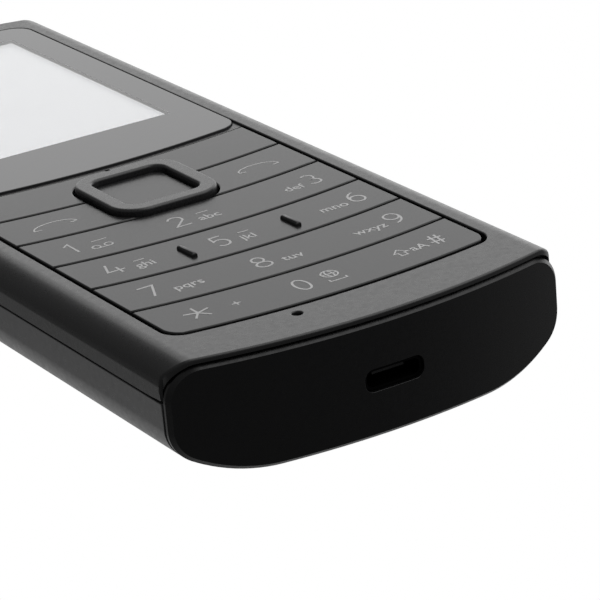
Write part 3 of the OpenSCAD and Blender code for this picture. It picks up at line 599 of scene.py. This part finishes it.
def at_lip_edge(place):
    """Edges on which the front cover's outer surface ends over the caps."""
    return skin_depth(place) < CHORD_SAG and end_depth(place) < COVER_TRIM + CORNER_REACH


def at_cover_end(place):
    """Outer edges of the rear cover beside the groove."""
    outside = abs(place.x) > HALF_W - COVER_SIDE_REACH or place.z < COVER_BACK_REACH
    return outside and abs(end_depth(place) - COVER_TRIM) < TOUCH


def at_back_slot(place):
    return place.z < TOUCH and abs(place.y) < HALF_L - SLOT_END_GAP


def at_key_face(place):
    return abs(place.z - KEY_FACE_Z) < TOUCH


def at_locator_top(place):
    return place.z > LOCATOR_TOP_Z - TOUCH


def at_front_opening(place):
    """Edges of the openings in the front cover, whose face is level with the keys."""
    return at_key_face(place) and end_depth(place) > COVER_TRIM


def at_end_face(place):
    return end_depth(place) < TOUCH


def by_cap_opening(place):
    """Whether a point lies by one of the openings in a cap, seen from its end."""
    for name in CAP_OPENINGS:
        low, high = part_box(name)
        beside = low.x - OPENING_REACH < place.x < high.x + OPENING_REACH
        if beside and low.z - OPENING_REACH < place.z < high.z + OPENING_REACH:
            return True
    return False


def at_cap_rim(place):
    return at_end_face(place) and not by_cap_opening(place)


def at_cap_opening(place):
    return at_end_face(place) and by_cap_opening(place)


KEYS = (
    "left_soft_key", "right_soft_key", "call_key", "end_key",
    "key_row_123", "key_row_456", "key_row_789", "key_row_star_0_hash",
)
# Radii of the rounded edges, and how far the caps' bevel cuts back
LIP_ROUND = 0.3 * MM
FRONT_OPENING_ROUND = 0.2 * MM
SEAM_ROUND = 0.08 * MM
COVER_END_ROUND = 0.35 * MM
BACK_SLOT_ROUND = 0.2 * MM
CAP_BEVEL = 0.45 * MM
CAP_OPENING_ROUND = 0.06 * MM
LOCATOR_ROUND = 0.3 * MM
KEY_ROUND = 0.22 * MM
RING_ROUND = 0.4 * MM
SELECT_ROUND = 0.2 * MM
WINDOW_ROUND = 0.1 * MM


def soften_pieces():
    """Softened copies of the covers, caps, keys, ring and window."""
    soften("front_shell", "front_cover", "phone", "cover_black", [
        (LIP_ROUND, ROUND_STEPS, at_lip_edge),
        (FRONT_OPENING_ROUND, ROUND_STEPS, at_front_opening),
        (SEAM_ROUND, ROUND_STEPS, at_upper_seam),
    ])
    soften("rear_shell", "rear_cover", "rear_cover", "door_black", [
        (SEAM_ROUND, ROUND_STEPS, at_lower_seam),
        (COVER_END_ROUND, ROUND_STEPS, at_cover_end),
        (BACK_SLOT_ROUND, ROUND_STEPS, at_back_slot),
    ])
    for cap in ("bottom_cap", "top_cap"):
        soften(cap + "_shell", cap, "phone", "cap_black", [
            (CAP_BEVEL, BEVEL_STEPS, at_cap_rim),
            (CAP_OPENING_ROUND, ROUND_STEPS, at_cap_opening),
        ])
    for key in KEYS:
        soften(key + "_top", key, key, "key_black", [
            (LOCATOR_ROUND, ROUND_STEPS, at_locator_top),
            (KEY_ROUND, ROUND_STEPS, at_key_face),
        ])
    soften("nav_ring_top", "nav_ring", "nav_ring", "ring_grey", [
        (RING_ROUND, ROUND_STEPS, near_top("nav_ring")),
    ])
    soften("select_key_top", "select_key", "select_key", "key_black", [
        (SELECT_ROUND, ROUND_STEPS, near_top("select_key")),
    ])
    soften("window_pane", "display_window", "phone", "window_dark", [
        (WINDOW_ROUND, ROUND_STEPS, near_top("display_window")),
    ])


# Legends: flat strokes that stand a little proud of the keys
INK_RISE = 0.015 * MM
INK_SINK = 0.01 * MM
# How much higher each further stroke of a sign stands
INK_STEP = 0.002 * MM
# Lines between the key rows: their radius, their width and the rows, counted from the socket end
ROW_R = 115.6 * MM
ROW_GAP = 0.4 * MM
ROWS = ("key_row_star_0_hash", "key_row_789", "key_row_456", "key_row_123")
ROW_LOW_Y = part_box(ROWS[0])[0].y - ROW_GAP / 2
ROW_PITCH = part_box(ROWS[1])[0].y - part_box(ROWS[0])[0].y
CALL_ROW = 4
DIGIT_H = 3.15 * MM
DIGIT_STROKE = 0.27 * MM
MARK_STROKE = 0.2 * MM
# Handsets on the call and end keys: height, and place to both sides of the middle
HANDSET_H = 1.6 * MM
HANDSET_X = 14.2 * MM
# Small letters: size, extra weight, half height, steps from the digits on their left and right, and drop
# below the row's middle
LETTER_SIZE = 2.15 * MM
LETTER_BOLD = 0.025 * MM
LETTER_HALF_H = LETTER_SIZE / 4
LETTER_STEP = 2.3 * MM
LETTER_STEP_BACK = 1.8 * MM
LETTER_DROP = 1.0 * MM
# Angled steps in an arc, the most that a mitre reaches in half strokes, and the gap of points that are one
ARC_STEPS = 24
MITRE_LIMIT = 2.0
SAME_POINT = 1e-9


def row_middle(row, x):
    """Middle of a key row in y, at a place across the phone."""
    return ROW_LOW_Y + (row + 0.5) * ROW_PITCH + bow(ROW_R, x)


def arc(cx, cy, rx, ry, start, end):
    """Points along an ellipse between two angles in degrees."""
    angles = [math.radians(start + (end - start) * i / ARC_STEPS) for i in range(ARC_STEPS + 1)]
    return [(cx + rx * math.cos(a), cy + ry * math.sin(a)) for a in angles]


def spoke(angle, length):
    """Stroke from the middle of a unit box outwards."""
    turn = math.radians(angle)
    return [(0, 0.5), (length * math.cos(turn), 0.5 + length * math.sin(turn))]


SIX = [arc(0, 0.31, 0.29, 0.31, 0, 360), arc(0.25, 0.36, 0.54, 0.64, 182, 100)]
# Strokes of each sign, in a box of unit height with x = 0 in its middle
GLYPHS = {
    "0": [arc(0, 0.5, 0.27, 0.5, 0, 360)],
    "1": [[(-0.2, 0.78), (0.05, 1), (0.05, 0)]],
    "2": [arc(0, 0.72, 0.28, 0.28, 165, -30) + [(-0.3, 0), (0.32, 0)]],
    "3": [arc(-0.02, 0.75, 0.25, 0.25, 140, -90) + arc(-0.02, 0.25, 0.3, 0.25, 90, -140)[1:]],
    "4": [[(-0.1, 1), (-0.34, 0.28), (0.36, 0.28)], [(0.14, 0.6), (0.14, 0)]],
    "5": [[(0.26, 1), (-0.2, 1), (-0.24, 0.55)] + arc(-0.01, 0.33, 0.3, 0.33, 125, -140)],
    "6": SIX,
    "7": [[(-0.3, 1), (0.32, 1), (-0.1, 0)]],
    "8": [arc(0, 0.755, 0.23, 0.245, 0, 360), arc(0, 0.255, 0.3, 0.255, 0, 360)],
    "9": [[(-x, 1 - y) for x, y in stroke] for stroke in SIX],
    "*": [spoke(90 + 72 * i, 0.53) for i in range(5)],
    "#": [
        [(-0.14, 0.05), (-0.04, 0.95)], [(0.1, 0.05), (0.2, 0.95)],
        [(-0.3, 0.33), (0.3, 0.33)], [(-0.26, 0.67), (0.34, 0.67)],
    ],
    "bar": [[(-0.5, 0.5), (0.5, 0.5)]],
    "plus": [[(-0.5, 0.5), (0.5, 0.5)], [(0, 0), (0, 1)]],
    "voicemail": [
        arc(-0.8, 0.5, 0.5, 0.5, 0, 360), arc(0.8, 0.5, 0.5, 0.5, 0, 360), [(-0.8, 0), (0.8, 0)],
    ],
    "globe": [
        arc(0, 0.5, 0.5, 0.5, 0, 360), arc(0, 0.5, 0.2, 0.5, 0, 360), [(-0.5, 0.5), (0.5, 0.5)],
    ],
    "space": [[(-2.2, 1), (-2.2, 0), (2.2, 0), (2.2, 1)]],
    "shift": [[
        (0, 1), (0.5, 0.45), (0.22, 0.45), (0.22, 0), (-0.22, 0), (-0.22, 0.45), (-0.5, 0.45), (0, 1),
    ]],
    "handset": [[(-1.2, 0), (-1.7, 0.05)] + arc(0, 0.1, 1.75, 0.9, 180, 0) + [(1.7, 0.05), (1.2, 0)]],
}


def mitre(points, index, closed):
    """Way from a point of a stroke to its left edge, as long as the mitre there reaches in half strokes."""
    last = len(points) - 1
    before = points[index - 1] if index > 0 else (points[last] if closed else points[0])
    after = points[index + 1] if index < last else (points[0] if closed else points[last])
    here = points[index]
    ways = [way.normalized() for way in (here - before, after - here) if way.length > 0]
    along = (ways[0] + ways[-1]).normalized()
    reach = 1 / max(1 / MITRE_LIMIT, along.dot(ways[0]))
    return Vector((-along.y, along.x)) * reach


def draw_stroke(work, points, width, low, high):
    """Adds a closed flat bar along the points."""
    path = [Vector(p) for p in points]
    closed = (path[0] - path[-1]).length < SAME_POINT
    if closed:
        path.pop()
    rings = []
    for index, point in enumerate(path):
        side = mitre(path, index, closed) * (width / 2)
        corners = [(point + side, low), (point - side, low), (point - side, high), (point + side, high)]
        rings.append([work.verts.new((p.x, p.y, z)) for p, z in corners])
    count = len(rings)
    for index in range(count if closed else count - 1):
        ring = rings[index]
        following = rings[(index + 1) % count]
        for corner in range(len(ring)):
            beside = (corner + 1) % len(ring)
            work.faces.new((ring[corner], ring[beside], following[beside], following[corner]))
    if not closed:
        work.faces.new(reversed(rings[0]))
        work.faces.new(rings[-1])


def draw_sign(work, sign, place, height, stroke):
    """Adds a sign of a given height whose middle is at a place in x and y."""
    low = KEY_FACE_Z - INK_SINK
    high = KEY_FACE_Z + INK_RISE
    for index, points in enumerate(GLYPHS[sign]):
        moved = [(place[0] + height * x, place[1] + height * (y - 0.5)) for x, y in points]
        draw_stroke(work, moved, stroke, low, high + index * INK_STEP)


def draw_letters(work, letters, place, align):
    """Adds small letters that start, end or are centred at a place in x and y."""
    curve = bpy.data.curves.new("letters", "FONT")
    curve.body = letters
    curve.size = LETTER_SIZE
    curve.align_x = align
    curve.offset = LETTER_BOLD
    curve.extrude = (INK_RISE + INK_SINK) / 2
    text = bpy.data.objects.new("letters", curve)
    scene.collection.objects.link(text)
    shape = text.evaluated_get(bpy.context.evaluated_depsgraph_get())
    mesh = bpy.data.meshes.new_from_object(shape)
    middle_z = KEY_FACE_Z + (INK_RISE - INK_SINK) / 2
    mesh.transform(Matrix.Translation((place[0], place[1] - LETTER_HALF_H, middle_z)))
    work.from_mesh(mesh)
    bpy.data.objects.remove(text)
    bpy.data.curves.remove(curve)
    bpy.data.meshes.remove(mesh)


# Digits of each row, with the place of each across the phone in millimetres and its small letters
ROW_LEGENDS = (
    (("*", -15.5, None), ("0", -2.66, None), ("#", 16.1, None)),
    (("7", -16.2, "pqrs"), ("8", -2.4, "tuv"), ("9", 16.5, "wxyz")),
    (("4", -15.95, "ghi"), ("5", -2.4, "jkl"), ("6", 17.1, "mno")),
    (("1", -16.4, None), ("2", -2.75, "abc"), ("3", 16.6, "def")),
)
# Marks beside the digits: row, sign, and in millimetres its place across the phone, its offset from the
# row's middle and its height
MARKS = (
    (0, "plus", -10.9, 0, 1.1),
    (0, "globe", 1.4, 0.7, 2.0),
    (0, "space", 1.4, -1.2, 0.5),
    (0, "shift", 10.9, 0, 1.9),
    (2, "bar", -12.4, 0.9, 1.4),
    (2, "bar", 1.2, 0.9, 1.4),
    (3, "voicemail", -13.2, -1.2, 1.0),
    (3, "bar", -12.7, 0.8, 2.0),
    (3, "bar", 1.0, 0.9, 1.6),
)
# Letters beside the shift mark
CASE_LETTERS = "aA"
CASE_ROW = 0
CASE_X = 13.4 * MM
CASE_DROP = LETTER_SIZE / 6


def add_legend(body, work):
    """Piece of ink that rides on a key."""
    mesh = bpy.data.meshes.new("legend_" + body)
    bmesh.ops.recalc_face_normals(work, faces=work.faces)
    work.to_mesh(mesh)
    work.free()
    piece = bpy.data.objects.new("legend_" + body, mesh)
    scene.collection.objects.link(piece)
    mesh.materials.append(finishes["legend_ink"])
    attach(piece, body)


def print_row(row, body, signs):
    """Digits, letters and marks on one key strip."""
    work = bmesh.new()
    for sign, x_mm, letters in signs:
        x = x_mm * MM
        draw_sign(work, sign, (x, row_middle(row, x)), DIGIT_H, DIGIT_STROKE)
        if letters:
            step, align = (LETTER_STEP, "LEFT") if x < 0 else (-LETTER_STEP_BACK, "RIGHT")
            draw_letters(work, letters, (x + step, row_middle(row, x + step) - LETTER_DROP), align)
    for mark_row, sign, x_mm, offset, height in MARKS:
        if mark_row == row:
            x = x_mm * MM
            draw_sign(work, sign, (x, row_middle(row, x) + offset * MM), height * MM, MARK_STROKE)
    if row == CASE_ROW:
        draw_letters(work, CASE_LETTERS, (CASE_X, row_middle(row, CASE_X) - CASE_DROP), "CENTER")
    add_legend(body, work)


def print_legends():
    for row, (body, signs) in enumerate(zip(ROWS, ROW_LEGENDS)):
        print_row(row, body, signs)
    for body, x in (("call_key", -HANDSET_X), ("end_key", HANDSET_X)):
        work = bmesh.new()
        draw_sign(work, "handset", (x, row_middle(CALL_ROW, x)), HANDSET_H, MARK_STROKE)
        add_legend(body, work)


make_camera()
make_world()
make_floor()
finishes = make_finishes()
for node in nodes.values():
    for place in node.material_slots:
        place.material = finishes[place.material.name.split(".")[0]]
soften_pieces()
print_legends()

scene.view_settings.view_transform = "Standard"
